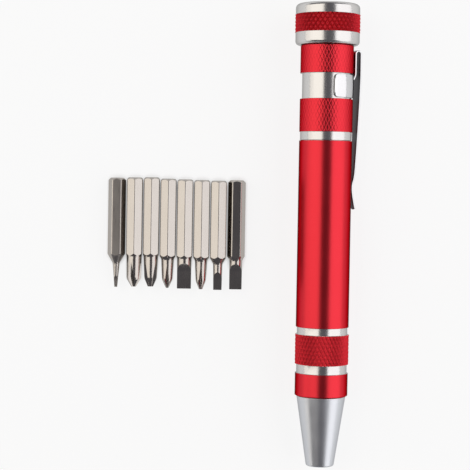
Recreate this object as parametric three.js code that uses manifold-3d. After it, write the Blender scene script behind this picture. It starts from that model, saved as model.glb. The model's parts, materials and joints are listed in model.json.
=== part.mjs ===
// Pen-style multi-bit screwdriver with a spinning cap, a pocket clip and eight loose hex bits.
// Millimetres, +Z up. The driver lies along +Y with its nose towards -Y; the bits lie on its -X side.
import * as THREE from 'three';
import { mergeVertices } from 'three/addons/utils/BufferGeometryUtils.js';
import Module from 'manifold-3d';

const wasm = await Module();
wasm.setup();

// Fits
const SEAT_GAP = 0.1; // between pieces that seat on each other
const RUNNING_GAP = 0.1; // between pieces that turn on each other

// Lengths along the driver, from the nose to the cap
const NOSE_LENGTH = 18;
const FRONT_BAND_LENGTH = 5.8;
const FRONT_GROOVE_LENGTH = 2.2;
const GRIP_LENGTH = 7.6;
const REAR_GROOVE_LENGTH = 1.8;
const PLAIN_LENGTH = 47.1;
const RING_LENGTH = 2.2;
const LOWER_KNURL_LENGTH = 8.3;
const CLIP_SEAT_LENGTH = 6.4;
const UPPER_KNURL_LENGTH = 7.1;
const CAP_RIM_LENGTH = 3.1;
const CAP_KNURL_LENGTH = 4.6;
const CAP_CROWN_LENGTH = 2.7;

// Barrel and tail sections
const BARREL_DIAMETER = 13.4;
const BARREL_WALL = 1.3; // round the bit chamber
const GROOVE_DEPTH = 0.3; // bare turned grooves beside the grip
const RING_DEPTH = 0.2; // bare ring at the head of the tail
const CLIP_SEAT_DEPTH = 0.5;
const GRIP_RISE = 0.1; // knurled grip stands proud of the barrel
const EDGE_BREAK = 0.2; // small chamfer on turned edges
const THREAD_STEP = 0.55; // the barrel's threaded mouth is cut into the chamber's wall
const THREAD_LENGTH = 6;
const SPIGOT_WALL = 1.05; // of the tail's threaded spigot
const TAIL_POCKET_DEPTH = 14.5; // hollow of the tail, from its shoulder towards the cap

// Nose
const NOSE_STEP = 0.5; // the cone starts below the barrel's surface
const NOSE_LIP = 0.6; // wall round the socket at the tip
const NOSE_ROUND = 0.45; // rounding of the tip
const NOSE_SPIGOT_DIAMETER = 9;
const NOSE_SPIGOT_LENGTH = 5.4;
const SOCKET_WALL = 0.45; // at the corners of the hexagon
const SOCKET_LENGTH = 12.2;
const SOCKET_RECESS = 0.2; // socket sits just inside the tip
const MAGNET_DIAMETER = 4;
const MAGNET_LENGTH = 4;
const MAGNET_CHAMFER = 0.3;

// Cap and its bearing
const CAP_OVERHANG = 1.4; // cap stands out from the barrel
const CAP_KNURL_RISE = 0.12;
const CAP_RIM_ROUND = 0.95;
const CAP_CROWN_ROUND = 1.15;
const NECK_DIAMETER = 9;
const NECK_LENGTH = 5.6;
const BALL_DIAMETER = 3;
const BALL_SEAT_DEPTH = 1.3; // ball sits this deep in the neck
const RETAINER_THICKNESS = 0.8;
const RETAINER_WIDTH = 0.9;
const RETAINER_BITE = 0.5; // depth of the groove in the neck and in the cap
const RETAINER_SETBACK = 1.7; // groove's distance from the tail's end face
const RETAINER_GAP = THREE.MathUtils.degToRad(50);

// Pocket clip, bent from one strip of sheet
const CLIP_SHEET = 0.55;
const CLIP_DROP = THREE.MathUtils.degToRad(18); // clip points this far below level
const CLIP_BAND_WIDTH = 5.8;
const CLIP_BAND_WRAP = THREE.MathUtils.degToRad(94); // to each side of the arm
const CLIP_BAND_CORNER = 1;
const TONGUE_WIDTH = 3.8;
const TONGUE_TOP = 5.2; // bend's centre above the clip seat
const BEND_RADIUS = 0.72; // middle of the sheet
const BEND_SPLIT = THREE.MathUtils.degToRad(8); // half of the gap at the bend's crest
const ARM_WIDTH = 4.5; // at its widest, beside the band
const TOE_WIDTH = 2.2;
const ARM_CROWN = 0.1; // outer face is slightly domed
const SHEET_EDGE = 0.12; // rounding of the strip's edges
const CREST_LENGTH = 7.6; // along the arm from the bend to its widest place
const CREST_LIFT = 1.65; // sheet's middle above the barrel there
const KNEE_LENGTH = 28.5; // to where the arm turns in to the barrel
const KNEE_LIFT = 1.1;
const HEEL_LENGTH = 33.9; // to where the arm touches the barrel
const TOE_LENGTH = 39.3; // to the flared end
const TOE_LIFT = 0.85; // the toe's rise from the heel

// Bits
const BIT_HEX = 4; // across flats
const BIT_LENGTH = 28;
const BIT_TIP_LENGTH = 8.6; // from the shank's corners to the end
const BIT_SHOULDER_ANGLE = THREE.MathUtils.degToRad(30); // cone between shank and neck
const BIT_END_CHAMFER = 0.5;
const BIT_FIT = 0.1; // socket is wider than the bit
const CROSS_POINT_LENGTH = 2.1;
const CROSS_WEB = 0.38; // flute's root to the axis at the point
const CROSS_FLUTE_LENGTH = 6.6;
const BLADE_RUNOUT = 1.5; // hollow-ground end of the blade's flat
const CUTTER_OVERRUN = 2; // cutters start beyond the end
const BLADE_FLARE = 0.12; // blade thickens towards the shank
const BIT_GAP = 0.3; // between neighbours in the row
const ROW_DISTANCE = 22.2; // driver's axis to the nearest bit
const ROW_START = 44.9; // bits' ends before each one's shift, along the driver

// The row from left to right. Diameters: neck, end of the neck and point of a cross bit.
// A blade has its thickness and the length of its flat, and a cross its turn in degrees.
// Each bit lies a little way out of the row, back towards the nose.
const BITS = [
  { name: 'bit_needle', shift: 0.5, flatUp: true, neck: 1.8, end: 0.75, blade: 0.3, flat: 1.5 },
  { name: 'bit_cross_large', shift: 0.35, neck: 3.9, end: 3.75, point: 1.2, turn: 25 },
  { name: 'bit_cross_medium', shift: 0.25, neck: 3.7, end: 3.2, point: 1.4, turn: 0 },
  { name: 'bit_cross_small', shift: 0.55, neck: 3.2, end: 2.77, point: 0.7, turn: 45 },
  { name: 'bit_slot_wide', shift: 0.65, neck: 3.7, end: 3.62, blade: 0.8, flat: 4.4 },
  { name: 'bit_cross_fine', shift: 0.75, neck: 3.12, end: 2.7, point: 0.9, turn: 45 },
  { name: 'bit_slot_narrow', shift: 0.85, neck: 2.4, end: 2.15, blade: 0.5, flat: 2.5 },
  { name: 'bit_slot_medium', shift: 0.65, flatUp: true, neck: 3.3, end: 3.2, blade: 0.7, flat: 4.4 },
];

// Smoothness
const ROUND_SEGMENTS = 48;
const SMALL_SEGMENTS = 24;
const ARC_STEPS = 2;
const CURVE_STEPS = 5;
const ARM_STEPS = 26;
const MERGE_DISTANCE = 1e-4;

// Stations along the driver
const frontGrooveStart = NOSE_LENGTH + FRONT_BAND_LENGTH;
const gripStart = frontGrooveStart + FRONT_GROOVE_LENGTH;
const rearGrooveStart = gripStart + GRIP_LENGTH;
const plainStart = rearGrooveStart + REAR_GROOVE_LENGTH;
const barrelEnd = plainStart + PLAIN_LENGTH;
const lowerKnurlStart = barrelEnd + RING_LENGTH;
const clipSeatStart = lowerKnurlStart + LOWER_KNURL_LENGTH;
const upperKnurlStart = clipSeatStart + CLIP_SEAT_LENGTH;
const capStart = upperKnurlStart + UPPER_KNURL_LENGTH;
const capKnurlStart = capStart + CAP_RIM_LENGTH;
const capCrownStart = capKnurlStart + CAP_KNURL_LENGTH;
const capEnd = capCrownStart + CAP_CROWN_LENGTH;
const tailStart = barrelEnd + SEAT_GAP;
const tailEnd = capStart - SEAT_GAP;
const neckEnd = tailEnd + NECK_LENGTH;
const retainerStart = tailEnd + RETAINER_SETBACK;

// Radii that several pieces share
const barrelRadius = BARREL_DIAMETER / 2;
const chamberRadius = barrelRadius - BARREL_WALL;
const mouthRadius = chamberRadius + THREAD_STEP;
const gripRadius = barrelRadius + GRIP_RISE;
const clipSeatRadius = barrelRadius - CLIP_SEAT_DEPTH;
const capRadius = barrelRadius + CAP_OVERHANG;
const capKnurlRadius = capRadius + CAP_KNURL_RISE;
const neckRadius = NECK_DIAMETER / 2;
const capBoreRadius = neckRadius + RUNNING_GAP;
const ballRadius = BALL_DIAMETER / 2;
const ballPocketRadius = ballRadius + RUNNING_GAP;
const ballCentre = neckEnd - BALL_SEAT_DEPTH + SEAT_GAP + ballRadius;
const socketHex = BIT_HEX + BIT_FIT;
const socketRadius = socketHex / Math.sqrt(3) + SOCKET_WALL;
const noseBoreRadius = socketRadius + SEAT_GAP;
const noseBoreEnd = SOCKET_RECESS + SOCKET_LENGTH + SEAT_GAP;
const magnetStart = noseBoreEnd + SEAT_GAP;

// Piece revolved about the driver's axis; a closed outline makes a ring
function turned(outline, segments = ROUND_SEGMENTS) {
  return new THREE.LatheGeometry(outline.getPoints(ARC_STEPS), segments);
}

// Outline of straight runs through [radius, station] pairs
function runs(...corners) {
  const outline = new THREE.Path();
  outline.moveTo(...corners[0]);
  for (const corner of corners.slice(1)) {
    outline.lineTo(...corner);
  }
  return outline;
}

// Shape extruded along Y instead of Z
function extrudedAlongY(shape, start, length) {
  const geometry = new THREE.ExtrudeGeometry(shape, {
    depth: length,
    bevelEnabled: false,
    curveSegments: SMALL_SEGMENTS,
  });
  return geometry.rotateX(-Math.PI / 2).translate(0, start, 0);
}

function hexagon(acrossFlats, firstCorner) {
  const corners = [];
  for (let i = 0; i < 6; i += 1) {
    const angle = firstCorner + (i * Math.PI) / 3;
    const corner = new THREE.Vector2(Math.cos(angle), Math.sin(angle));
    corners.push(corner.multiplyScalar(acrossFlats / Math.sqrt(3)));
  }
  return corners;
}

// Closed body for cutting and joining, without the slivers that a revolve leaves on its axis
function solidOf(geometry) {
  const bare = geometry.clone();
  bare.deleteAttribute('normal');
  bare.deleteAttribute('uv');
  const merged = mergeVertices(bare, MERGE_DISTANCE);
  const index = merged.index.array;
  const triangles = [];
  for (let i = 0; i < index.length; i += 3) {
    const [a, b, c] = index.slice(i, i + 3);
    if (a !== b && b !== c && c !== a) {
      triangles.push(a, b, c);
    }
  }
  return new wasm.Manifold(new wasm.Mesh({
    numProp: 3,
    vertProperties: new Float32Array(merged.attributes.position.array),
    triVerts: new Uint32Array(triangles),
  }));
}

function geometryOf(solid) {
  const mesh = solid.getMesh();
  const geometry = new THREE.BufferGeometry();
  geometry.setAttribute('position', new THREE.BufferAttribute(mesh.vertProperties, 3));
  geometry.setIndex(new THREE.BufferAttribute(mesh.triVerts, 1));
  geometry.computeVertexNormals();
  return geometry;
}

// Skin over a section that follows a path in the XY plane; section points are (across, outwards)
function swept(path, steps, sectionAt) {
  const positions = [];
  const index = [];
  let count = 0;
  for (let i = 0; i <= steps; i += 1) {
    const u = i / steps;
    const centre = path.getPointAt(u);
    const along = path.getTangentAt(u);
    const section = sectionAt(u);
    count = section.length;
    for (const point of section) {
      positions.push(centre.x - along.y * point.y, centre.y + along.x * point.y, point.x);
    }
  }
  for (let i = 0; i < steps; i += 1) {
    for (let j = 0; j < count; j += 1) {
      const a = i * count + j;
      const b = i * count + ((j + 1) % count);
      index.push(a, a + count, b, b, a + count, b + count);
    }
  }
  const lastRing = steps * count;
  for (const [a, b, c] of THREE.ShapeUtils.triangulateShape(sectionAt(0), [])) {
    index.push(a, b, c);
  }
  for (const [a, b, c] of THREE.ShapeUtils.triangulateShape(sectionAt(1), [])) {
    index.push(lastRing + a, lastRing + c, lastRing + b);
  }
  const geometry = new THREE.BufferGeometry();
  geometry.setAttribute('position', new THREE.Float32BufferAttribute(positions, 3));
  geometry.setIndex(index);
  geometry.computeVertexNormals();
  return geometry;
}

function barrel() {
  const grooveRadius = barrelRadius - GROOVE_DEPTH;
  const noseThreadRadius = NOSE_SPIGOT_DIAMETER / 2 + SEAT_GAP;
  const chamberStart = NOSE_LENGTH + NOSE_SPIGOT_LENGTH + SEAT_GAP;
  const mouthStart = barrelEnd - THREAD_LENGTH - SEAT_GAP;
  return turned(runs(
    [noseThreadRadius, NOSE_LENGTH],
    [barrelRadius - EDGE_BREAK, NOSE_LENGTH],
    [barrelRadius, NOSE_LENGTH + EDGE_BREAK],
    [barrelRadius, frontGrooveStart],
    [grooveRadius, frontGrooveStart],
    [grooveRadius, gripStart],
    [gripRadius, gripStart],
    [gripRadius, rearGrooveStart],
    [grooveRadius, rearGrooveStart],
    [grooveRadius, plainStart],
    [barrelRadius, plainStart],
    [barrelRadius, barrelEnd],
    [mouthRadius, barrelEnd],
    [mouthRadius, mouthStart],
    [chamberRadius, mouthStart],
    [chamberRadius, chamberStart],
    [noseThreadRadius, chamberStart],
    [noseThreadRadius, NOSE_LENGTH],
  ));
}

function noseCone() {
  const spigotRadius = NOSE_SPIGOT_DIAMETER / 2;
  const shoulder = NOSE_LENGTH - SEAT_GAP;
  const tipRadius = noseBoreRadius + NOSE_LIP;
  const pocketRadius = MAGNET_DIAMETER / 2 + SEAT_GAP;
  const pocketEnd = magnetStart + MAGNET_LENGTH + SEAT_GAP;
  const outline = runs([0, pocketEnd], [pocketRadius, pocketEnd], [pocketRadius, noseBoreEnd]);
  outline.lineTo(noseBoreRadius, noseBoreEnd);
  outline.lineTo(noseBoreRadius, 0);
  outline.lineTo(tipRadius - NOSE_ROUND, 0);
  outline.quadraticCurveTo(tipRadius, 0, tipRadius + EDGE_BREAK / 2, NOSE_ROUND + EDGE_BREAK);
  outline.lineTo(barrelRadius - NOSE_STEP, shoulder - EDGE_BREAK);
  outline.lineTo(barrelRadius - NOSE_STEP - EDGE_BREAK, shoulder);
  outline.lineTo(spigotRadius, shoulder);
  outline.lineTo(spigotRadius, NOSE_LENGTH + NOSE_SPIGOT_LENGTH);
  outline.lineTo(0, NOSE_LENGTH + NOSE_SPIGOT_LENGTH);
  return turned(outline);
}

// Steel sleeve with a hexagonal hole right through
function bitSocket() {
  const section = new THREE.Shape();
  section.absarc(0, 0, socketRadius, 0, Math.PI * 2);
  section.holes.push(new THREE.Path(hexagon(socketHex, Math.PI / 2)));
  return extrudedAlongY(section, SOCKET_RECESS, SOCKET_LENGTH);
}

function socketMagnet() {
  const radius = MAGNET_DIAMETER / 2;
  const end = magnetStart + MAGNET_LENGTH;
  return turned(runs(
    [0, magnetStart],
    [radius - MAGNET_CHAMFER, magnetStart],
    [radius, magnetStart + MAGNET_CHAMFER],
    [radius, end - MAGNET_CHAMFER],
    [radius - MAGNET_CHAMFER, end],
    [0, end],
  ), SMALL_SEGMENTS);
}

function tailSleeve() {
  const ringRadius = barrelRadius - RING_DEPTH;
  const spigotRadius = mouthRadius - SEAT_GAP;
  const pocketRadius = spigotRadius - SPIGOT_WALL;
  const spigotStart = tailStart - THREAD_LENGTH;
  const pocketEnd = tailStart + TAIL_POCKET_DEPTH;
  const grooveRadius = neckRadius - RETAINER_BITE;
  const grooveStart = retainerStart - SEAT_GAP;
  const grooveEnd = retainerStart + RETAINER_THICKNESS + SEAT_GAP;
  return turned(runs(
    [0, pocketEnd],
    [pocketRadius, pocketEnd],
    [pocketRadius, spigotStart],
    [spigotRadius, spigotStart],
    [spigotRadius, tailStart],
    [ringRadius, tailStart],
    [ringRadius, lowerKnurlStart],
    [barrelRadius, lowerKnurlStart],
    [barrelRadius, clipSeatStart],
    [clipSeatRadius, clipSeatStart],
    [clipSeatRadius, upperKnurlStart],
    [barrelRadius, upperKnurlStart],
    [barrelRadius, tailEnd],
    [neckRadius, tailEnd],
    [neckRadius, grooveStart],
    [grooveRadius, grooveStart],
    [grooveRadius, grooveEnd],
    [neckRadius, grooveEnd],
    [neckRadius, neckEnd - EDGE_BREAK],
    [neckRadius - EDGE_BREAK, neckEnd],
    [ballPocketRadius, neckEnd],
    [ballPocketRadius, neckEnd - BALL_SEAT_DEPTH],
    [0, neckEnd - BALL_SEAT_DEPTH],
  ));
}

// Cup with a blind bore that runs on the tail's neck and a pocket for the ball
function spinCap() {
  const grooveRadius = capBoreRadius + RETAINER_BITE;
  const grooveStart = retainerStart - SEAT_GAP;
  const grooveEnd = retainerStart + RETAINER_THICKNESS + SEAT_GAP;
  const boreEnd = neckEnd + RUNNING_GAP;
  const pocketEnd = ballCentre + ballRadius + SEAT_GAP;
  const outline = runs([0, pocketEnd], [ballPocketRadius, pocketEnd], [ballPocketRadius, boreEnd]);
  outline.lineTo(capBoreRadius, boreEnd);
  outline.lineTo(capBoreRadius, grooveEnd);
  outline.lineTo(grooveRadius, grooveEnd);
  outline.lineTo(grooveRadius, grooveStart);
  outline.lineTo(capBoreRadius, grooveStart);
  outline.lineTo(capBoreRadius, capStart);
  outline.lineTo(capRadius - CAP_RIM_ROUND, capStart);
  outline.absarc(capRadius - CAP_RIM_ROUND, capStart + CAP_RIM_ROUND, CAP_RIM_ROUND, -Math.PI / 2, 0);
  outline.lineTo(capRadius, capKnurlStart);
  outline.lineTo(capKnurlRadius, capKnurlStart);
  outline.lineTo(capKnurlRadius, capCrownStart);
  outline.lineTo(capRadius, capCrownStart);
  outline.absarc(capRadius - CAP_CROWN_ROUND, capEnd - CAP_CROWN_ROUND, CAP_CROWN_ROUND, 0, Math.PI / 2);
  outline.lineTo(0, capEnd);
  return turned(outline);
}

// Flat spring ring, open on one side, half in the neck's groove and half in the cap's
function capRetainingRing() {
  const innerRadius = neckRadius - RETAINER_BITE + SEAT_GAP;
  const outerRadius = innerRadius + RETAINER_WIDTH;
  const section = new THREE.Shape();
  section.absarc(0, 0, outerRadius, RETAINER_GAP / 2, Math.PI * 2 - RETAINER_GAP / 2, false);
  section.absarc(0, 0, innerRadius, Math.PI * 2 - RETAINER_GAP / 2, RETAINER_GAP / 2, true);
  section.closePath();
  return extrudedAlongY(section, retainerStart, RETAINER_THICKNESS);
}

function thrustBall() {
  return new THREE.SphereGeometry(ballRadius, SMALL_SEGMENTS, SMALL_SEGMENTS / 2).translate(0, ballCentre, 0);
}

// The clip's pieces are drawn with the arm on +X and turned round the driver together
const bandInner = clipSeatRadius + SEAT_GAP;
const tongueMiddle = barrelRadius + SEAT_GAP + CLIP_SHEET / 2;
const bendHeight = upperKnurlStart + TONGUE_TOP;
const bendMiddle = tongueMiddle + BEND_RADIUS;

// Section of the strip: rounded edges and a domed outer face
function stripSection(width) {
  const w = width / 2;
  const t = CLIP_SHEET / 2;
  return [
    new THREE.Vector2(-w + SHEET_EDGE, -t),
    new THREE.Vector2(w - SHEET_EDGE, -t),
    new THREE.Vector2(w, -t + SHEET_EDGE),
    new THREE.Vector2(w, t - ARM_CROWN - SHEET_EDGE),
    new THREE.Vector2(w - SHEET_EDGE, t - ARM_CROWN),
    new THREE.Vector2(w / 3, t),
    new THREE.Vector2(-w / 3, t),
    new THREE.Vector2(-w + SHEET_EDGE, t - ARM_CROWN),
    new THREE.Vector2(-w, t - ARM_CROWN - SHEET_EDGE),
    new THREE.Vector2(-w, -t + SHEET_EDGE),
  ];
}

// C-shaped band with rounded ends, and the tongue that leaves it, clears the knurl and starts the bend
function clipBand() {
  const bandStart = clipSeatStart + (CLIP_SEAT_LENGTH - CLIP_BAND_WIDTH) / 2;
  const bandEnd = bandStart + CLIP_BAND_WIDTH;
  const bandOuter = bandInner + CLIP_SHEET;
  const reach = CLIP_BAND_WRAP + CLIP_BAND_CORNER / bandInner;
  const section = new THREE.Shape();
  section.absarc(0, 0, bandOuter, -reach, reach, false);
  section.absarc(0, 0, bandInner, reach, -reach, true);
  section.closePath();

  const left = bandOuter * Math.cos(CLIP_BAND_WRAP);
  const side = new THREE.Shape();
  side.moveTo(bandOuter + CLIP_SHEET, bandStart);
  side.lineTo(bandOuter + CLIP_SHEET, bandEnd);
  const corner = left + CLIP_BAND_CORNER;
  side.lineTo(corner, bandEnd);
  side.absarc(corner, bandEnd - CLIP_BAND_CORNER, CLIP_BAND_CORNER, Math.PI / 2, Math.PI);
  side.absarc(corner, bandStart + CLIP_BAND_CORNER, CLIP_BAND_CORNER, Math.PI, Math.PI * 1.5);
  side.closePath();
  const trim = new THREE.ExtrudeGeometry(side, {
    depth: bandOuter * 4,
    bevelEnabled: false,
    curveSegments: CURVE_STEPS,
  });
  trim.translate(0, 0, -bandOuter * 2);

  const root = bandInner + CLIP_SHEET / 2;
  const route = new THREE.Path();
  route.moveTo(root, bandEnd - CLIP_BAND_WIDTH / 3);
  route.lineTo(tongueMiddle, bandEnd - SEAT_GAP);
  route.lineTo(tongueMiddle, bendHeight);
  route.absarc(bendMiddle, bendHeight, BEND_RADIUS, Math.PI, Math.PI / 2 + BEND_SPLIT, true);
  const tongue = swept(route, ARM_STEPS, () => stripSection(TONGUE_WIDTH));

  const band = solidOf(extrudedAlongY(section, bandStart, CLIP_BAND_WIDTH));
  return geometryOf(band.intersect(solidOf(trim)).add(solidOf(tongue)));
}

// Sprung arm from the crest of the bend to the flared toe
function clipArm() {
  const heelRadius = barrelRadius + SEAT_GAP + CLIP_SHEET / 2;
  const route = new THREE.Path();
  route.absarc(bendMiddle, bendHeight, BEND_RADIUS, Math.PI / 2 - BEND_SPLIT, 0, true);
  route.splineThru([
    new THREE.Vector2(barrelRadius + CREST_LIFT, bendHeight - CREST_LENGTH),
    new THREE.Vector2(barrelRadius + KNEE_LIFT, bendHeight - KNEE_LENGTH),
    new THREE.Vector2(heelRadius, bendHeight - HEEL_LENGTH),
    new THREE.Vector2(heelRadius + TOE_LIFT, bendHeight - TOE_LENGTH),
  ]);
  return swept(route, ARM_STEPS, (u) => {
    const along = u * TOE_LENGTH;
    const widening = THREE.MathUtils.smoothstep(along, 0, CREST_LENGTH);
    const narrowing = THREE.MathUtils.smoothstep(along, CREST_LENGTH, HEEL_LENGTH);
    const shoulder = THREE.MathUtils.lerp(TONGUE_WIDTH, ARM_WIDTH, widening);
    return stripSection(THREE.MathUtils.lerp(shoulder, TOE_WIDTH, narrowing));
  });
}

// Hexagonal bar turned down to a shoulder, a neck and an end
function bitBlank({ neck, end, point, flatUp }) {
  const corner = BIT_HEX / Math.sqrt(3);
  const shoulder = (corner - neck / 2) / Math.tan(BIT_SHOULDER_ANGLE);
  const bar = extrudedAlongY(new THREE.Shape(hexagon(BIT_HEX, flatUp ? 0 : Math.PI / 2)), 0, BIT_LENGTH);
  const outline = runs([0, 0], [(point ?? end) / 2, 0]);
  if (point) {
    outline.lineTo(end / 2, CROSS_POINT_LENGTH);
  }
  outline.lineTo(neck / 2, BIT_TIP_LENGTH - shoulder);
  outline.lineTo(corner, BIT_TIP_LENGTH);
  outline.lineTo(corner, BIT_LENGTH - BIT_END_CHAMFER);
  outline.lineTo(corner - BIT_END_CHAMFER, BIT_LENGTH);
  outline.lineTo(0, BIT_LENGTH);
  return solidOf(bar).intersect(solidOf(turned(outline, SMALL_SEGMENTS)));
}

// Four V-shaped flutes that run out towards the neck
function crossTip(bit) {
  const depth = bit.neck;
  const groove = new THREE.Shape([
    new THREE.Vector2(0, 0),
    new THREE.Vector2(depth, -depth),
    new THREE.Vector2(depth, depth),
  ]);
  const slope = Math.atan2(bit.neck / 2 - CROSS_WEB, CROSS_FLUTE_LENGTH);
  let tip = bitBlank(bit);
  for (let i = 0; i < 4; i += 1) {
    const cutter = extrudedAlongY(groove, -CUTTER_OVERRUN, CUTTER_OVERRUN + BIT_TIP_LENGTH);
    cutter.rotateZ(-slope).translate(CROSS_WEB, 0, 0);
    cutter.rotateY(THREE.MathUtils.degToRad(bit.turn + 45) + (i * Math.PI) / 2);
    tip = tip.subtract(solidOf(cutter));
  }
  return geometryOf(tip);
}

// Two flats ground from opposite sides, with hollow run-outs
function slotTip(bit) {
  const thin = bit.blade / 2;
  const groundEnd = bit.flat + BLADE_RUNOUT;
  const far = BIT_HEX;
  const ground = new THREE.Shape();
  ground.moveTo(thin, -CUTTER_OVERRUN);
  ground.lineTo(thin, 0);
  ground.lineTo(thin + BLADE_FLARE, bit.flat);
  ground.quadraticCurveTo(thin + BLADE_FLARE, bit.flat + BLADE_RUNOUT / 2, bit.neck / 2, groundEnd);
  ground.lineTo(far, groundEnd);
  ground.lineTo(far, -CUTTER_OVERRUN);
  ground.closePath();
  let tip = bitBlank(bit);
  for (const side of [0, Math.PI]) {
    const cutter = new THREE.ExtrudeGeometry(ground, {
      depth: far * 2,
      bevelEnabled: false,
      curveSegments: CURVE_STEPS,
    });
    cutter.translate(0, 0, -far).rotateY(-Math.PI / 2).rotateY(side);
    tip = tip.subtract(solidOf(cutter));
  }
  return geometryOf(tip);
}

function finish(color, roughness, metalness) {
  return new THREE.MeshStandardMaterial({ color, roughness, metalness });
}

const redAnodised = () => finish(0xc8202c, 0.3, 0.85);
const bareAluminium = () => finish(0xd2d2d4, 0.3, 1);
const polishedSteel = () => finish(0xc4c6c8, 0.15, 1);
const springSteel = () => finish(0x8f9296, 0.3, 1);
const magnetSteel = () => finish(0x6d6f72, 0.45, 1);
const nickelPlate = () => finish(0xcdc6bc, 0.28, 1);

function piece(name, geometry, material) {
  const mesh = new THREE.Mesh(geometry, material);
  mesh.name = name;
  return mesh;
}

const clip = new THREE.Group();
clip.add(piece('clip_band', clipBand(), polishedSteel()));
clip.add(piece('clip_arm', clipArm(), polishedSteel()));
clip.rotation.y = CLIP_DROP;

const driver = new THREE.Group();
driver.add(piece('barrel', barrel(), redAnodised()));
driver.add(piece('nose_cone', noseCone(), bareAluminium()));
driver.add(piece('bit_socket', bitSocket(), springSteel()));
driver.add(piece('socket_magnet', socketMagnet(), magnetSteel()));
driver.add(piece('tail_sleeve', tailSleeve(), redAnodised()));
driver.add(piece('spin_cap', spinCap(), redAnodised()));
driver.add(piece('cap_retaining_ring', capRetainingRing(), springSteel()));
driver.add(piece('thrust_ball', thrustBall(), polishedSteel()));
driver.add(clip);

// The driver lies on its front band and on the cap's knurl, so the cap's end is the higher one
const frontContact = NOSE_LENGTH + EDGE_BREAK;
const tilt = Math.atan2(capKnurlRadius - barrelRadius, capKnurlStart - frontContact);
driver.rotation.x = tilt;
driver.position.z = barrelRadius * Math.cos(tilt) - frontContact * Math.sin(tilt);

// The row of bits, from the one nearest the driver outwards
const row = new THREE.Group();
let across = -ROW_DISTANCE;
let lastHalf = 0;
for (const bit of [...BITS].reverse()) {
  const half = bit.flatUp ? BIT_HEX / Math.sqrt(3) : BIT_HEX / 2;
  const height = bit.flatUp ? BIT_HEX / 2 : BIT_HEX / Math.sqrt(3);
  across -= lastHalf > 0 ? lastHalf + BIT_GAP + half : 0;
  const mesh = piece(bit.name, bit.blade ? slotTip(bit) : crossTip(bit), nickelPlate());
  mesh.position.set(across, ROW_START - bit.shift, height);
  row.add(mesh);
  lastHalf = half;
}

// Driver and bits together, centred over the origin and standing on it
const set = new THREE.Group();
set.add(driver, row);
set.updateMatrixWorld(true);
const box = new THREE.Box3().setFromObject(set, true);
const middle = box.getCenter(new THREE.Vector3());
set.position.set(-middle.x, -middle.y, -box.min.z);

export default set;
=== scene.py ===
import json
import math

import bmesh
import bpy
from mathutils import Matrix, Vector


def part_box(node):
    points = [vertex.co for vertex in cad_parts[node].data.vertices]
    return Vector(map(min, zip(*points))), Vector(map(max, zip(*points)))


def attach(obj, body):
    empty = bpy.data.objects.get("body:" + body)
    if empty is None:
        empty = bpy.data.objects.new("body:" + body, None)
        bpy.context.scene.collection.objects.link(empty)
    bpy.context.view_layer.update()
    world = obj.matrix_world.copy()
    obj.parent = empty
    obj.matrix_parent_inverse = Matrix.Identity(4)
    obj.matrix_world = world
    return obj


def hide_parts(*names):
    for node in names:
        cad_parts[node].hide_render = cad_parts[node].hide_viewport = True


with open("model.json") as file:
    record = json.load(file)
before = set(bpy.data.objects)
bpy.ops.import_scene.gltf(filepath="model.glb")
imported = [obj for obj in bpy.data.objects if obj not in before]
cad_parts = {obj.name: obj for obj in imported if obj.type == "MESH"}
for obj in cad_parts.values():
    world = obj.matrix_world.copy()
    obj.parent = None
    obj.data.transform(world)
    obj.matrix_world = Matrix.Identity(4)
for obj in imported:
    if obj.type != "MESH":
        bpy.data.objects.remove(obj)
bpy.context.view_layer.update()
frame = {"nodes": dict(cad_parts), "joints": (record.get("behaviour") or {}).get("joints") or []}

mm = 0.001
scene = bpy.context.scene
smoothBelow = math.radians(20)  # edges sharper than this stay crisp


class Wire:
    # one output of a shader node; arithmetic on it adds Math nodes to the same tree
    def __init__(self, tree, socket=None):
        self.tree = tree
        self.socket = socket

    def node(self, kind, settings=None, sockets=None, output=0):
        made = self.tree.nodes.new("ShaderNode" + kind)
        for key, value in (settings or {}).items():
            setattr(made, key, value)
        for key, value in (sockets or {}).items():
            if isinstance(value, Wire):
                self.tree.links.new(value.socket, made.inputs[key])
            else:
                made.inputs[key].default_value = value
        return Wire(self.tree, made.outputs[output] if made.outputs else None)

    def maths(self, operation, first, second):
        return self.node("Math", {"operation": operation}, {0: first, 1: second})

    def __add__(self, other):
        return self.maths("ADD", self, other)

    def __radd__(self, other):
        return self.maths("ADD", other, self)

    def __sub__(self, other):
        return self.maths("SUBTRACT", self, other)

    def __rsub__(self, other):
        return self.maths("SUBTRACT", other, self)

    def __mul__(self, other):
        return self.maths("MULTIPLY", self, other)

    def __rmul__(self, other):
        return self.maths("MULTIPLY", other, self)


# finishes

def newFinish(name):
    material = bpy.data.materials.new(name)
    material.use_nodes = True
    material.node_tree.nodes.clear()
    return material, Wire(material.node_tree)


def ownCoords(finish, stretch):
    place = finish.node("TexCoord", output=3)  # the piece's own coordinates, in metres
    return finish.node("VectorMath", {"operation": "MULTIPLY"}, {0: place, 1: stretch})


def noise(finish, stretch, detail=2.0):
    sockets = {"Vector": ownCoords(finish, stretch), "Scale": 1.0, "Detail": detail}
    return finish.node("TexNoise", None, sockets)


def tinted(finish, amount, light, dark):
    colours = {0: amount, 6: (*dark, 1), 7: (*light, 1)}
    return finish.node("Mix", {"data_type": "RGBA"}, colours, output=2)


driftShare = 0.6  # part of a change of tone that is slow drift; the rest follows the lines
plainEdge = (0.55, 0.55, 0.55)  # grazing tint of the bare metals


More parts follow.
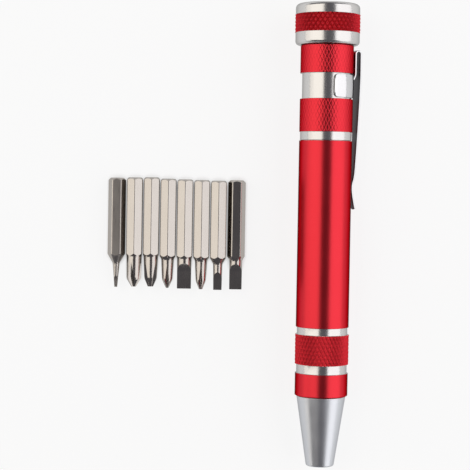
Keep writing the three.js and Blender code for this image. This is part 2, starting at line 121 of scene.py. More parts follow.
def metalFinish(name, look):
    # fine lines along or round the piece, a grain under them and a slow drift of tone
    material, finish = newFinish(name)
    lines = noise(finish, look["lines"])
    grain = noise(finish, look["grain"], 3.0)
    drift = noise(finish, look["drift"], 1.0)
    relief = lines * look["lineShare"] + grain * (1 - look["lineShare"])
    bump = finish.node("Bump", None, {"Strength": look["bump"], "Distance": look["relief"], "Height": relief})
    tone = drift * driftShare + lines * (1 - driftShare)
    sockets = {
        "Base Color": tinted(finish, tone, look["light"], look["dark"]),
        "Metallic": 1.0,
        "Roughness": look["roughness"] + (lines - 0.5) * look["uneven"] + (drift - 0.5) * look["uneven"],
        "Specular Tint": (*look.get("edge", plainEdge), 1),
        "Normal": bump,
    }
    shader = finish.node("BsdfPrincipled", None, sockets)
    finish.node("OutputMaterial", None, {"Surface": shader})
    return material


roundLines = (90, 9000, 90)  # turning marks, repeats per metre
lengthLines = (7000, 110, 7000)  # drawing marks along a bar

redLook = {
    "light": (0.65, 0.034, 0.048), "dark": (0.59, 0.028, 0.040), "roughness": 0.30, "uneven": 0.05,
    "lines": roundLines, "grain": (16000, 16000, 16000), "drift": (160, 160, 160),
    "lineShare": 0.4, "bump": 0.05, "relief": 0.00002, "edge": (0.04, 0.2, 0.2),
}
knurlLook = {**redLook, "roughness": 0.60}
bareLook = {
    "light": (0.63, 0.62, 0.61), "dark": (0.57, 0.56, 0.55), "roughness": 0.22, "uneven": 0.04,
    "lines": roundLines, "grain": (20000, 20000, 20000), "drift": (220, 220, 220),
    "lineShare": 0.8, "bump": 0.05, "relief": 0.00001,
}
coneLook = {
    **bareLook, "light": (0.62, 0.637, 0.668), "dark": (0.56, 0.576, 0.604),
    "roughness": 0.35, "uneven": 0.08, "bump": 0.08,
}
clipLook = {
    "light": (0.66, 0.66, 0.67), "dark": (0.58, 0.58, 0.59), "roughness": 0.16, "uneven": 0.04,
    "lines": lengthLines, "grain": (18000, 18000, 18000), "drift": (300, 300, 300),
    "lineShare": 0.7, "bump": 0.05, "relief": 0.00001,
}
# near-black steel for the clip arm's inner face: painted shade standing in for the shadow between clip and
# barrel
shadedInsideLook = {**clipLook, "light": (0.13, 0.13, 0.135), "dark": (0.09, 0.09, 0.095), "roughness": 0.3}
nickelLook = {
    "light": (0.50, 0.47, 0.44), "dark": (0.42, 0.39, 0.36), "roughness": 0.17, "uneven": 0.08,
    "lines": lengthLines, "grain": (15000, 15000, 15000), "drift": (420, 160, 420),
    "lineShare": 0.75, "bump": 0.10, "relief": 0.00001,
}
needleLook = {**nickelLook, "roughness": 0.30}
springLook = {
    **clipLook, "light": (0.46, 0.47, 0.48), "dark": (0.36, 0.37, 0.38), "roughness": 0.28, "uneven": 0.1,
}
magnetLook = {
    **clipLook, "light": (0.52, 0.51, 0.49), "dark": (0.43, 0.42, 0.41), "roughness": 0.32, "uneven": 0.1,
}
ballLook = {**clipLook, "roughness": 0.06, "bump": 0.02}

redAnodised = metalFinish("redAnodised", redLook)
knurledRed = metalFinish("knurledRed", knurlLook)
bareAluminium = metalFinish("bareAluminium", bareLook)
coneAluminium = metalFinish("coneAluminium", coneLook)
clipSteel = metalFinish("clipSteel", clipLook)
# painted shade: the near-black finish for the clip arm's inner face
paintedShadeSteel = metalFinish("paintedShadeSteel", shadedInsideLook)
nickelPlate = metalFinish("nickelPlate", nickelLook)
dullPlate = metalFinish("dullPlate", needleLook)
springSteel = metalFinish("springSteel", springLook)
magnetPlate = metalFinish("magnetPlate", magnetLook)
ballSteel = metalFinish("ballSteel", ballLook)
print("finishes made")


# mesh helpers; outlines and sections are in millimetres
nearly = 1e-5  # lengths closer than this count as equal
weldWithin, flatWithin = 1e-4, math.radians(0.3)  # points and slopes that a cut leaves without an edge


def newPiece(name, vertices, faces, finishes, picks=None):
    mesh = bpy.data.meshes.new(name)
    mesh.from_pydata(vertices, [], faces)
    for finish in finishes:
        mesh.materials.append(finish)
    if picks:
        mesh.polygons.foreach_set("material_index", picks)
    piece = bpy.data.objects.new(name, mesh)
    scene.collection.objects.link(piece)
    return piece


def seat(piece, place, body, slot, *nodes):
    # scales the mesh to metres, smooths it, sets it in place and hands it to the frame
    mesh = piece.data
    mesh.transform(Matrix.Scale(mm, 4))
    mesh.polygons.foreach_set("use_smooth", [True] * len(mesh.polygons))
    mesh.set_sharp_from_angle(angle=smoothBelow)
    mesh.update()
    weighted = piece.modifiers.new("weightedNormals", "WEIGHTED_NORMAL")
    weighted.keep_sharp = True
    piece.matrix_world = place
    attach(piece, body)
    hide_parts(*nodes)
    return piece


def arcBetween(before, here, after, ease, steps):
    # circular rounding of a corner that starts and ends at ease from it
    inward = (before - here).normalized()
    onward = (after - here).normalized()
    start, end = here + inward * ease, here + onward * ease
    weight = math.sqrt(max(0.0, (1 - inward.dot(onward)) / 2))
    points = []
    for step in range(steps + 1):
        t = step / steps
        a, b, c = (1 - t) ** 2, 2 * weight * t * (1 - t), t * t
        points.append((start * a + here * b + end * c) / (a + b + c))
    return points


def easedRows(corners, steps=6):
    # corners: radius, station, rounding and the finish of the run that follows
    rows = []
    for index, (radius, station, ease, pick) in enumerate(corners):
        if not ease:
            rows.append((radius, station, pick))
            continue
        last = corners[index - 1]
        after = corners[(index + 1) % len(corners)]
        points = arcBetween(Vector(last[:2]), Vector((radius, station)), Vector(after[:2]), ease, steps)
        for step, point in enumerate(points):
            rows.append((point.x, point.y, last[3] if step < steps / 2 else pick))
    return rows


def turnedMesh(rows, around, closed, radiusAt=None):
    # grid round the Y axis; cells with relief split along the line of equal height
    vertices, faces, picks, rings = [], [], [], []
    for radius, station, _ in rows:
        if radius < nearly:
            rings.append([len(vertices)] * around)
            vertices.append((0, station, 0))
            continue
        rings.append(list(range(len(vertices), len(vertices) + around)))
        for i in range(around):
            r = radiusAt(radius, station, i) if radiusAt else radius
            angle = 2 * math.pi * i / around
            vertices.append((r * math.sin(angle), station, r * math.cos(angle)))
    reach = [math.hypot(v[0], v[2]) for v in vertices]
    pairs = len(rows) if closed else len(rows) - 1
    for k in range(pairs):
        low, high = rings[k], rings[(k + 1) % len(rows)]
        for i in range(around):
            j = (i + 1) % around
            a, b, c, d = low[i], low[j], high[j], high[i]
            if a == b and c == d:
                continue
            if a == b:
                cells = [(a, c, d)]
            elif c == d:
                cells = [(a, b, c)]
            elif abs(reach[a] - reach[b]) < nearly and abs(reach[c] - reach[d]) < nearly:
                cells = [(a, b, c, d)]
            else:
                rise, fall = abs(reach[a] - reach[c]), abs(reach[b] - reach[d])
                tie = abs(rise - fall) < nearly
                forward = reach[a] + reach[c] <= reach[b] + reach[d] if tie else rise < fall
                cells = [(a, b, c), (a, c, d)] if forward else [(a, b, d), (b, c, d)]
            faces.extend(cells)
            picks.extend([rows[k][2]] * len(cells))
    return vertices, faces, picks


def runRows(radius, start, end, count, pick):
    # evenly spaced rows strictly between two stations
    return [(radius, start + (end - start) * n / count, 0, pick) for n in range(1, count)]


knurlReach = 0.35  # rows further under a knurl's crests are not part of it


def knurlRelief(band):
    # radius over a diamond knurl: two sets of crossing grooves with flats left between them
    cells = band["cells"]
    rise = (band["end"] - band["start"]) / band["rows"]

    def radiusAt(radius, station, i):
        along = band["start"] - nearly <= station <= band["end"] + nearly
        if not along or radius < band["radius"] - knurlReach:
            return radius
        v = (station - band["start"]) / rise
        ups = 1 - abs((i + v) % (2 * cells) / cells - 1)
        downs = 1 - abs((i - v) % (2 * cells) / cells - 1)
        height = min(ups, downs, band["flat"]) / band["flat"]
        return min(radius, band["radius"] - band["depth"] * (1 - height))

    return radiusAt


threadForm = {"crest": 0.15, "flank": 0.6, "fade": 0.4}  # parts of half a pitch, and the run-out


def threadRelief(thread, around):
    # right-hand thread cut into a cylinder, inwards or outwards
    def radiusAt(radius, station, i):
        if not thread["start"] < station < thread["end"] or abs(radius - thread["radius"]) > nearly:
            return radius
        turn = (station / thread["pitch"] - i / around) % 1
        cut = min(max((abs(turn - 0.5) * 2 - threadForm["crest"]) / threadForm["flank"], 0), 1)
        inside = min(station - thread["start"], thread["end"] - station)
        return radius + thread["cut"] * cut * min(1, inside / threadForm["fade"])

    return radiusAt


def reliefs(*fields):
    def radiusAt(radius, station, i):
        for field in fields:
            radius = field(radius, station, i)
        return radius

    return radiusAt


def prism(name, section, start, end):
    # section of (x, z) points, extruded along Y
    count = len(section)
    vertices = [(x, y, z) for y in (start, end) for x, z in section]
    faces = [(i, (i + 1) % count, count + (i + 1) % count, count + i) for i in range(count)]
    faces.append(tuple(range(count - 1, -1, -1)))
    faces.append(tuple(range(count, 2 * count)))
    piece = newPiece(name, vertices, faces, [])
    facedOutwards(piece.data)
    return piece


def facedOutwards(mesh):
    soft = bmesh.new()
    soft.from_mesh(mesh)
    bmesh.ops.recalc_face_normals(soft, faces=soft.faces)
    soft.to_mesh(mesh)
    soft.free()


def carved(piece, *cuts):
    # cuts: (operation, tool); the tools are used up
    for operation, tool in cuts:
        step = piece.modifiers.new("carve", "BOOLEAN")
        step.operation, step.solver, step.object = operation, "EXACT", tool
    bpy.context.view_layer.update()
    graph = bpy.context.evaluated_depsgraph_get()
    result = bpy.data.meshes.new_from_object(piece.evaluated_get(graph))
    piece.modifiers.clear()
    piece.data = result
    for _, tool in cuts:
        bpy.data.objects.remove(tool)
    soft = bmesh.new()
    soft.from_mesh(result)
    bmesh.ops.remove_doubles(soft, verts=soft.verts, dist=weldWithin)
    bmesh.ops.dissolve_limit(soft, angle_limit=flatWithin, verts=soft.verts, edges=soft.edges)
    soft.to_mesh(result)
    soft.free()
    return piece


def sweptMesh(loops):
    # skin over a row of loops with the same number of points, closed at both ends
    count = len(loops[0])
    vertices = [point for loop in loops for point in loop]
    faces = []
    for k in range(len(loops) - 1):
        for i in range(count):
            j = (i + 1) % count
            faces.append((k * count + i, k * count + j, (k + 1) * count + j, (k + 1) * count + i))
    faces.append(tuple(range(count - 1, -1, -1)))
    faces.append(tuple(range((len(loops) - 1) * count, len(loops) * count)))
    return vertices, faces


# the driver lies along its own axis, which the tail's screw gives
tailStart = 82.6
screw = next(joint for joint in frame["joints"] if joint["name"] == "tail_unscrew")
penAxis = Vector(screw["axis"]).normalized()
penSide = Vector((1, 0, 0))
penTurn = Matrix((penSide, penAxis, penSide.cross(penAxis))).transposed().to_4x4()
penPlace = Matrix.Translation(Vector(screw["pos_m"]) - penAxis * tailStart * mm) @ penTurn

red, bare, rolled = 0, 1, 2
penFinishes = [redAnodised, bareAluminium, knurledRed]
cellsPerHalf = 4  # mesh cells on each half of a knurl's diamond
knurlsAround = 42
penAround = knurlsAround * 2 * cellsPerHalf

# barrel
grip = {
    "radius": 6.8, "start": 26.0, "end": 33.6,
    "rows": 30, "cells": cellsPerHalf, "flat": 0.75, "depth": 0.2,
}
mouthThread = {"radius": 5.95, "start": 76.4, "end": 82.5, "pitch": 1.0, "cut": 0.26}


def makeBarrel():
    corners = [
        (4.6, 18.0, 0, red), (6.7, 18.0, 0.2, red),
        (6.7, 23.8, 0.1, bare), (6.4, 23.8, 0.06, bare),
        (6.4, 26.0, 0.06, bare), (6.8, 26.0, 0.12, rolled),
        *runRows(6.8, 26.0, 33.6, grip["rows"], rolled),
        (6.8, 33.6, 0.12, bare), (6.4, 33.6, 0.06, bare),
        (6.4, 35.4, 0.06, bare), (6.7, 35.4, 0.1, red),
        (6.7, 82.5, 0.1, red), (5.95, 82.5, 0.25, red),
        *runRows(5.95, 82.2, 76.4, 47, red),
        (5.95, 76.4, 0, red), (5.4, 76.4, 0, red),
        (5.4, 23.5, 0, red), (4.6, 23.5, 0, red),
    ]
    shape = reliefs(knurlRelief(grip), threadRelief(mouthThread, penAround))
    mesh = turnedMesh(easedRows(corners), penAround, True, shape)
    piece = newPiece("knurledBarrel", mesh[0], mesh[1], penFinishes, mesh[2])
    return seat(piece, penPlace, "driver", "red_anodised", "barrel")


makeBarrel()

# nose cone
noseAround = 192


def makeNose():
    corners = [
        (0, 16.7, 0, 0), (2.1, 16.7, 0, 0), (2.1, 12.5, 0, 0), (2.917, 12.5, 0, 0),
        (2.917, 0, 0.1, 0), (3.519, 0, 0.42, 0),
        (6.23, 17.9, 0.2, 0), (4.5, 17.9, 0, 0),
        (4.5, 23.4, 0.3, 0), (0, 23.4, 0, 0),
    ]
    mesh = turnedMesh(easedRows(corners), noseAround, False)
    piece = newPiece("noseCone", mesh[0], mesh[1], [coneAluminium], mesh[2])
    return seat(piece, penPlace, "driver", "bare_aluminium", "nose_cone")


makeNose()

# tail sleeve
lowerKnurl = {
    "radius": 6.7, "start": 84.7, "end": 93.0,
    "rows": 33, "cells": cellsPerHalf, "flat": 0.25, "depth": 0.034,
}
upperKnurl = {**lowerKnurl, "start": 99.4, "end": 106.4, "rows": 28}
spigotThread = {"radius": 5.85, "start": 76.6, "end": 82.3, "pitch": 1.0, "cut": -0.26}


def makeTail():
    corners = [
        (0, 97.1, 0, bare), (4.8, 97.1, 0, bare), (4.8, 76.6, 0.1, bare), (5.85, 76.6, 0.35, bare),
        *runRows(5.85, 77.0, 82.3, 43, bare), (5.85, 82.3, 0, bare),
        (5.85, 82.6, 0, bare), (6.5, 82.6, 0.08, bare),
        (6.5, 84.7, 0.05, bare), (6.7, 84.7, 0.08, red),
        *runRows(6.7, 84.7, 93.0, lowerKnurl["rows"], red),
        (6.7, 93.0, 0.1, bare), (6.2, 93.0, 0.06, bare),
        (6.2, 99.4, 0.06, bare), (6.7, 99.4, 0.1, red),
        *runRows(6.7, 99.4, 106.4, upperKnurl["rows"], red),
        (6.7, 106.4, 0.1, bare), (4.5, 106.4, 0, bare), (4.5, 108.0, 0, bare),
        (4.0, 108.0, 0, bare), (4.0, 109.0, 0, bare), (4.5, 109.0, 0, bare),
        (4.5, 112.0, 0.2, bare), (1.6, 112.0, 0, bare), (1.6, 110.7, 0, bare), (0, 110.7, 0, bare),
    ]
    shape = reliefs(knurlRelief(lowerKnurl), knurlRelief(upperKnurl), threadRelief(spigotThread, penAround))
    mesh = turnedMesh(easedRows(corners), penAround, False, shape)
    piece = newPiece("tailSleeve", mesh[0], mesh[1], penFinishes, mesh[2])
    return seat(piece, penPlace, "tail", "red_anodised", "tail_sleeve")


makeTail()

# spinning cap
capKnurl = {
    "radius": 8.22, "start": 109.6, "end": 114.2,
    "rows": 20, "cells": cellsPerHalf, "flat": 0.8, "depth": 0.42,
}


def makeCap():
    corners = [
        (0, 113.9, 0, bare), (1.6, 113.9, 0, bare), (1.6, 112.1, 0, bare), (4.6, 112.1, 0, bare),
        (4.6, 109.0, 0, bare), (5.1, 109.0, 0, bare), (5.1, 108.0, 0, bare), (4.6, 108.0, 0, bare),
        (4.6, 106.5, 0.2, bare), (8.1, 106.5, 0.95, bare),
        (8.1, 109.6, 0.04, bare), (8.22, 109.6, 0.05, rolled),
        *runRows(8.22, 109.6, 114.2, capKnurl["rows"], rolled),
        (8.22, 114.2, 0.05, bare), (8.1, 114.2, 0.04, bare),
        (8.1, 116.9, 1.15, bare), (0, 116.9, 0, bare),
    ]
    mesh = turnedMesh(easedRows(corners, 10), penAround, False, knurlRelief(capKnurl))
    piece = newPiece("spinningCap", mesh[0], mesh[1], penFinishes, mesh[2])
    return seat(piece, penPlace, "spin_cap", "red_anodised", "spin_cap")


makeCap()
print("turned pieces made")

# hex socket
barAround = 96  # sides of the turned blanks and tools
socket = {
    "radius": 2.817, "start": 0.2, "end": 12.4, "edge": 0.15,
    "hex": 4.1, "corner": 0.12, "leadIn": 0.3, "flare": 1.1,
}


def hexSection(acrossFlats, firstCorner, ease=0.0, steps=4):
    corners = []
    for i in range(6):
        angle = firstCorner + i * math.pi / 3
        corners.append(Vector((math.cos(angle), math.sin(angle))) * acrossFlats / math.sqrt(3))
    if not ease:
        return [tuple(corner) for corner in corners]
    section = []
    for i in range(6):
        section += [tuple(p) for p in arcBetween(corners[i - 1], corners[i], corners[(i + 1) % 6], ease, steps)]
    return section


def makeSocket():
    radius, start, end, lead = (socket[key] for key in ("radius", "start", "end", "leadIn"))
    edge = socket["edge"]
    rows = easedRows([(0, start, 0, 0), (radius, start, edge, 0), (radius, end, edge, 0), (0, end, 0, 0)])
    piece = newPiece("hexSocket", *turnedMesh(rows, barAround, False)[:2], [springSteel])
    hole = prism("hole", hexSection(socket["hex"], math.pi / 2, socket["corner"]), start - 1, end + 1)
    corner = socket["hex"] / math.sqrt(3)
    rows = [
        (0, start - 1, 0), (corner + socket["flare"], start - 1, 0),
        (corner - lead, start + 2 * lead, 0), (0, start + 2 * lead, 0),
    ]
    countersink = newPiece("countersink", *turnedMesh(rows, barAround, False)[:2], [])
    carved(piece, ("DIFFERENCE", hole), ("DIFFERENCE", countersink))
    return seat(piece, penPlace, "driver", "spring_steel", "bit_socket")


makeSocket()

# pocket clip, one bent strip in two pieces that meet at the crest of the bend
clip = {
    "drop": math.radians(18), "sheet": 0.55, "edge": 0.14, "crown": 0.1,
    "bandRadius": 6.575, "bandWidth": 5.8, "bandMiddle": 96.2, "wrap": math.radians(94), "corner": 1.0,
    "bandSteps": 60, "endThin": 0.1, "footPart": 6, "footBend": 0.4, "riseGap": 0.1, "toeCorner": 0.7,
    "tongueWidth": 3.8, "armWidth": 4.5, "toeWidth": 2.2,
    "tongueRadius": 7.075, "bendRadius": 0.72, "bendStation": 104.6, "split": math.radians(3.4),
    "knots": [(8.515, 104.6), (8.35, 97.0), (7.8, 76.1), (7.075, 70.7), (7.925, 65.3)],
    "crest": 7.6, "heel": 33.9, "length": 39.3,
}
clipPlace = penPlace @ Matrix.Rotation(clip["drop"], 4, "Y")


def bendPoints(fromAngle, toAngle, steps=48):
    centre = Vector((clip["tongueRadius"] + clip["bendRadius"], clip["bendStation"]))
    points = []
    for step in range(steps + 1):
        angle = fromAngle + (toAngle - fromAngle) * step / steps
        points.append(centre + Vector((math.cos(angle), math.sin(angle))) * clip["bendRadius"])
    return points


def splinePoints(knots, steps=24):
    # curve through the knots, with each knot's slope taken from its neighbours
    knots = [Vector(knot) for knot in knots]
    points = []
    for k in range(len(knots) - 1):
        p1, p2 = knots[k], knots[k + 1]
        v1 = (p2 - knots[max(k - 1, 0)]) / 2
        v2 = (knots[min(k + 2, len(knots) - 1)] - p1) / 2
        for step in range(steps):
            t = step / steps
            points.append(
                (2 * p1 - 2 * p2 + v1 + v2) * t ** 3 + (3 * p2 - 3 * p1 - 2 * v1 - v2) * t * t + v1 * t + p1
            )
    return points + [knots[-1]]


def stripSection(width, thick, flatSteps=8):
    # (across, outwards) points: flat inner face, rounded edges and a slightly domed outer face
    w, t, edge, crown = width / 2, thick / 2, min(clip["edge"], thick * 0.3), clip["crown"]
    low, high = Vector((w, -t)), Vector((w, t - crown))
    right = arcBetween(Vector((0, -t)), low, high, edge, 4)
    right += arcBetween(low, high, Vector((0, t - crown)), edge, 4)
    section = [Vector((-w * 0.5, -t)), Vector((0, -t)), Vector((w * 0.5, -t)), *right]
    for step in range(1, flatSteps):
        x = (w - edge) * (1 - 2 * step / flatSteps)
        section.append(Vector((x, t - crown * (x / (w - edge)) ** 2)))
    section += [Vector((-p.x, p.y)) for p in reversed(right)]
    return section


def smoothstep(x, low, high):
    t = min(max((x - low) / (high - low), 0), 1)
    return t * t * (3 - 2 * t)


def stripLoops(route, widthAt):
    lengths = [0.0]
    for a, b in zip(route, route[1:]):
        lengths.append(lengths[-1] + (b - a).length)
    loops = []
    for k, centre in enumerate(route):
        along = (route[min(k + 1, len(route) - 1)] - route[max(k - 1, 0)]).normalized()
        width = widthAt(lengths[k] / lengths[-1], lengths[-1] - lengths[k])
        loop = []
        for point in stripSection(width, clip["sheet"]):
            spot = centre + Vector((-along.y, along.x)) * point.y
            loop.append((spot.x, spot.y, point.x))
        loops.append(loop)
    return loops


def makeClipBand():
    loops = []
    reach = clip["wrap"] * clip["bandRadius"]
    steps = clip["bandSteps"]
    ends = [0.0, 0.06, 0.14, 0.25, 0.4, 0.6, 0.8, 1.0]  # closer together where the corners are rounded
    inner = [ends[-1] + (reach - ends[-1]) * 2 * n / steps for n in range(1, steps)]
    marks = ends + inner + [2 * reach - e for e in reversed(ends)]
    for mark in marks:
        gap = min(mark, 2 * reach - mark)
        inset = max(0.0, clip["corner"] - gap)
        half = clip["bandWidth"] / 2 - clip["corner"] + math.sqrt(clip["corner"] ** 2 - inset ** 2)
        thick = clip["sheet"] - (clip["endThin"] if gap < ends[1] / 2 else 0)
        angle = (mark - reach) / clip["bandRadius"]
        loop = []
        for point in stripSection(2 * half, thick):
            r = clip["bandRadius"] + point.y
            loop.append((r * math.cos(angle), clip["bandMiddle"] - point.x, r * math.sin(angle)))
        loops.append(loop)
    piece = newPiece("clipBand", *sweptMesh(loops), [clipSteel])
    facedOutwards(piece.data)
    bandEnd = clip["bandMiddle"] + clip["bandWidth"] / 2
    foot = Vector((clip["bandRadius"], bandEnd - clip["bandWidth"] / clip["footPart"]))
    rise = Vector((clip["tongueRadius"], bandEnd + clip["riseGap"]))
    top = Vector((clip["tongueRadius"], clip["bendStation"]))
    route = [foot, foot.lerp(rise, 0.3), *arcBetween(foot, rise, top, clip["footBend"], 8)]
    route += [rise.lerp(top, t) for t in (0.3, 0.5, 0.7, 0.9)]
    route += bendPoints(math.pi, math.pi / 2 + clip["split"])
    loops = stripLoops(route, lambda share, left: clip["tongueWidth"])
    tongue = newPiece("tongue", *sweptMesh(loops), [clipSteel])
    facedOutwards(tongue.data)
    carved(piece, ("UNION", tongue))
    return seat(piece, clipPlace, "tail", "polished_steel", "clip_band")


def armWidth(share, left):
    along = share * clip["length"]
    shoulder = clip["tongueWidth"]
    shoulder += (clip["armWidth"] - shoulder) * smoothstep(along, 0, clip["crest"])
    width = shoulder + (clip["toeWidth"] - shoulder) * smoothstep(along, clip["crest"], clip["heel"])
    corner = clip["toeCorner"]  # the toe's end is rounded
    inset = max(0.0, corner - left)
    return width - 2 * (corner - math.sqrt(corner ** 2 - inset ** 2))


def makeClipArm():
    route = bendPoints(math.pi / 2 - clip["split"], 0)[:-1] + splinePoints(clip["knots"])
    before, last = route[-2:]
    route[-1:] = [before.lerp(last, t) for t in (0.3, 0.5, 0.7, 0.85, 0.95, 1.0)]
    loops = stripLoops(route, armWidth)
    vertices, faces = sweptMesh(loops)
    around = len(loops[0])
    picks = [0] * len(faces)
    firstPolished, lastPolished = 7, around - 6  # the face towards the barrel gets the near-black finish, painted shade for the dark gap between clip and barrel
    for index in range(len(faces) - 2):  # the two end faces come last
        if not firstPolished <= index % around <= lastPolished:
            picks[index] = 1
    piece = newPiece("clipArm", vertices, faces, [clipSteel, paintedShadeSteel], picks)
    facedOutwards(piece.data)
    return seat(piece, clipPlace, "clip_arm", "polished_steel", "clip_arm")


makeClipBand()
makeClipArm()
print("clip made")

# bits; diameters of neck, end of neck and point, blade thickness and length of its flat, a cross's turn
bar = {
    "hex": 4.0, "length": 28.0, "tip": 8.6, "shoulder": math.radians(30), "chamfer": 0.65, "edge": 0.22,
    "point": 2.1, "web": 0.38, "flute": 6.6, "root": 0.1, "runout": 2.1, "bow": 0.35, "flare": 0.12,
}
bits = [
    {"node": "bit_needle", "finish": dullPlate, "flatUp": True, "neck": 1.8, "end": 0.75,
     "blade": 0.3, "flat": 1.5},
    {"node": "bit_cross_large", "neck": 3.9, "end": 3.75, "point": 1.2, "turn": 25},
    {"node": "bit_cross_medium", "neck": 3.7, "end": 3.2, "point": 1.4, "turn": 0},
    {"node": "bit_cross_small", "neck": 3.2, "end": 2.77, "point": 0.7, "turn": 45},
    {"node": "bit_slot_wide", "neck": 3.7, "end": 3.62, "blade": 0.8, "flat": 4.4},
    {"node": "bit_cross_fine", "neck": 3.12, "end": 2.7, "point": 0.9, "turn": 45},
    {"node": "bit_slot_narrow", "neck": 2.4, "end": 2.15, "blade": 0.5, "flat": 2.5},
    {"node": "bit_slot_medium", "flatUp": True, "neck": 3.3, "end": 3.2, "blade": 0.7, "flat": 4.4},
]


def bitOutline(bit):
    corner = bar["hex"] / math.sqrt(3)
    shoulder = (corner - bit["neck"] / 2) / math.tan(bar["shoulder"])
    corners = [(0, 0, 0, 0), (bit.get("point", bit["end"]) / 2, 0, 0.08, 0)]
    if "point" in bit:
        corners.append((bit["end"] / 2, bar["point"], 0.5, 0))
    corners += [
        (bit["neck"] / 2, bar["tip"] - shoulder, 0.35, 0),
        (corner, bar["tip"], 0, 0),
        (corner, bar["length"] - bar["chamfer"], 0, 0),
        (corner - bar["chamfer"], bar["length"], 0.08, 0),
        (0, bar["length"], 0, 0),
    ]
    return easedRows(corners)


def fluteCutters(bit):
    depth = bit["neck"]
    slope = math.atan2(bit["neck"] / 2 - bar["web"], bar["flute"])
    root = arcBetween(Vector((depth, depth)), Vector((0, 0)), Vector((depth, -depth)), bar["root"], 4)
    section = [(depth, depth), *[tuple(p) for p in root], (depth, -depth)]
    cutters = []
    for i in range(4):
        cutter = prism("flute", section, -2, bar["tip"])
        turn = math.radians(bit["turn"] + 45) + i * math.pi / 2
        leant = Matrix.Translation((bar["web"], 0, 0)) @ Matrix.Rotation(-slope, 4, "Z")
        cutter.data.transform(Matrix.Rotation(turn, 4, "Y") @ leant)
        cutters.append(cutter)
    return cutters


def flatCutters(bit):
    thin, far, ground = bit["blade"] / 2, bar["hex"], bit["flat"] + bar["runout"]
    a = Vector((thin + bar["flare"], bit["flat"]))
    b = Vector((thin + bar["flare"], bit["flat"] + bar["runout"] * bar["bow"]))
    c = Vector((bit["neck"] / 2, ground))
    side = [Vector((thin, -2)), Vector((thin, 0))]
    steps = 12
    for step in range(steps + 1):
        t = step / steps
        side.append(a * (1 - t) ** 2 + b * 2 * t * (1 - t) + c * t * t)
    side += [Vector((far, ground)), Vector((far, -2))]
    count = len(side)
    cutters = []
    for way in (1, -1):
        vertices = [(x, p.y, way * p.x) for x in (-far, far) for p in side]
        faces = [(i, (i + 1) % count, count + (i + 1) % count, count + i) for i in range(count)]
        faces += [tuple(range(count)), tuple(range(count, 2 * count))]
        cutter = newPiece("flat", vertices, faces, [])
        facedOutwards(cutter.data)
        cutters.append(cutter)
    return cutters


def makeBit(bit):
    low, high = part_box(bit["node"])
    name = "hexBit" + bit["node"][3:].title().replace("_", "")
    first = 0 if bit.get("flatUp") else math.pi / 2
    piece = prism(name, hexSection(bar["hex"], first, bar["edge"]), 0, bar["length"])
    piece.data.materials.append(bit.get("finish", nickelPlate))
    blank = newPiece("blank", *turnedMesh(bitOutline(bit), barAround, False)[:2], [])
    cutters = flatCutters(bit) if "blade" in bit else fluteCutters(bit)
    carved(piece, ("INTERSECT", blank), *[("DIFFERENCE", cutter) for cutter in cutters])
    place = Matrix.Translation(((low.x + high.x) / 2, low.y, (low.z + high.z) / 2))
    return seat(piece, place, bit["node"], "nickel_plate", bit["node"])


for bit in bits:
    makeBit(bit)
print("bits made")

# pieces inside keep their solids
insideFinishes = {"socket_magnet": magnetPlate, "cap_retaining_ring": springSteel, "thrust_ball": ballSteel}
for node, finish in insideFinishes.items():
    frame["nodes"][node].material_slots[0].material = finish

# floor, a wide sheet of pale paper that shows white and keeps a soft shadow
floorLook = {
    "radius": 2.4, "sides": 64, "drop": 0.00002, "colour": (0.93, 0.945, 0.96), "fleck": 0.015,
    "fibres": (900, 900, 900), "bump": 0.05, "relief": 0.00005, "roughness": 0.9, "gloss": 0.1,
    "glow": 0.85, "reach": 0.0015,
}


def makeFloor():
    material, finish = newFinish("palePaper")
    fibres = noise(finish, floorLook["fibres"], 4.0)
    flecks = [value - floorLook["fleck"] for value in floorLook["colour"]]
    tone = tinted(finish, fibres, floorLook["colour"], flecks)
    relief = {"Strength": floorLook["bump"], "Distance": floorLook["relief"], "Height": fibres}
    bump = finish.node("Bump", None, relief)
    paper = finish.node("BsdfPrincipled", None, {
        "Base Color": tone, "Roughness": floorLook["roughness"],
        "Specular IOR Level": floorLook["gloss"], "Normal": bump,
    })
    glow = finish.node("Emission", None, {"Color": (1, 1, 1, 1), "Strength": 1.0})
    seen = finish.node("LightPath", output="Is Camera Ray") + finish.node("LightPath", output="Is Glossy Ray")
    seen = seen + finish.node("LightPath", output="Is Transmission Ray")
    # painted shade: ambient occlusion takes the glow away close under the pieces, so the gaps between them and
    # a thin rim round them stay dark
    openness = finish.node("AmbientOcclusion", {"samples": 16}, {"Distance": floorLook["reach"]}, output=1)
    shader = finish.node("MixShader", None, {0: seen * openness * floorLook["glow"], 1: paper, 2: glow})
    finish.node("OutputMaterial", None, {"Surface": shader})
    rim = []
    sides = floorLook["sides"]
    for step in range(sides):
        angle = 2 * math.pi * step / sides
        rim.append((floorLook["radius"] * math.cos(angle), floorLook["radius"] * math.sin(angle), 0))
    floor = newPiece("paperFloor", rim, [tuple(range(sides))], [material])
    floor.location.z = -floorLook["drop"]


makeFloor()

# soft boxes, a warm pair to the left and a neutral pair to the right, with a dark gap overhead
warm, neutral = (1.0, 0.95, 0.87), (1.0, 0.985, 0.985)
lamps = [
    {"name": "leftTop", "from": (-0.209, 0.75), "to": (-1.33, 0.55), "ends": (-0.3, 0.9), "level": 1.46,
     "colour": warm},
    {"name": "leftSide", "from": (-1.33, 0.55), "to": (-1.4, 0.04), "ends": (-0.9, 0.9), "level": 1.25,
     "colour": warm},
    {"name": "rightTop", "from": (0.359, 0.75), "to": (0.539, 0.586), "ends": (-0.3, 0.9), "level": 1.56,
     "colour": neutral},
    {"name": "rightSide", "from": (0.539, 0.586), "to": (1.15, 0.03), "ends": (-0.9, 0.9), "level": 1.46,
     "colour": neutral},
]
roomLook = {"dim": (0.115, 0.112, 0.125, 1), "pale": (0.95, 0.95, 0.95, 1)}


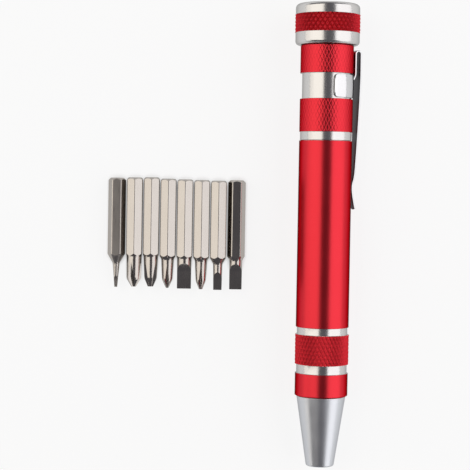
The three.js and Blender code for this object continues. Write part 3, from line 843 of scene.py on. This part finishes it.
def makeLamp(lamp):
    start = Vector((lamp["from"][0], 0, lamp["from"][1]))
    end = Vector((lamp["to"][0], 0, lamp["to"][1]))
    middle = (start + end) / 2
    middle.y = (lamp["ends"][0] + lamp["ends"][1]) / 2
    alongY = Vector((0, 1, 0))
    side = (end - start).normalized()
    back = side.cross(alongY)
    if back.dot(middle) < 0:
        side, back = -side, -back
    light = bpy.data.lights.new(lamp["name"], "AREA")
    light.shape = "RECTANGLE"
    light.size = (end - start).length
    light.size_y = lamp["ends"][1] - lamp["ends"][0]
    light.energy = math.pi * light.size * light.size_y * lamp["level"]
    light.color = lamp["colour"]
    holder = bpy.data.objects.new(lamp["name"], light)
    scene.collection.objects.link(holder)
    holder.matrix_world = Matrix.Translation(middle) @ Matrix((side, alongY, back)).transposed().to_4x4()
    holder.visible_camera = False


for lamp in lamps:
    makeLamp(lamp)


def makeRoom():
    # dim all round for the pieces, pale where the camera looks past the floor
    world = bpy.data.worlds.new("room")
    world.use_nodes = True
    world.node_tree.nodes.clear()
    room = Wire(world.node_tree)
    dim = room.node("Background", None, {"Color": roomLook["dim"], "Strength": 1.0})
    pale = room.node("Background", None, {"Color": roomLook["pale"], "Strength": 1.0})
    mixed = room.node("MixShader", None, {0: room.node("LightPath", output=0), 1: dim, 2: pale})
    room.node("OutputWorld", None, {"Surface": mixed})
    scene.world = world


makeRoom()

# camera over the set, turned a little so that the driver leans to the right
view = {
    "place": (0.0007, 0.00744, 0.400), "aim": (0.0007, -0.00016, 0.0075), "roll": math.radians(0.96),
    "lens": 118.72, "sensor": 36, "near": 0.01, "far": 20,
}


def makeCamera():
    camera = bpy.data.cameras.new("camera")
    camera.sensor_width = view["sensor"]
    camera.lens = view["lens"]
    camera.clip_start, camera.clip_end = view["near"], view["far"]
    place = Vector(view["place"])
    forward = (Vector(view["aim"]) - place).normalized()
    right = forward.cross(Vector((0, 1, 0))).normalized()
    up = right.cross(forward)
    up = up * math.cos(view["roll"]) - right * math.sin(view["roll"])
    right = forward.cross(up)
    holder = bpy.data.objects.new("camera", camera)
    scene.collection.objects.link(holder)
    holder.matrix_world = Matrix.Translation(place) @ Matrix((right, up, -forward)).transposed().to_4x4()
    scene.camera = holder


makeCamera()
scene.view_settings.view_transform = "Standard"
print("stage made")
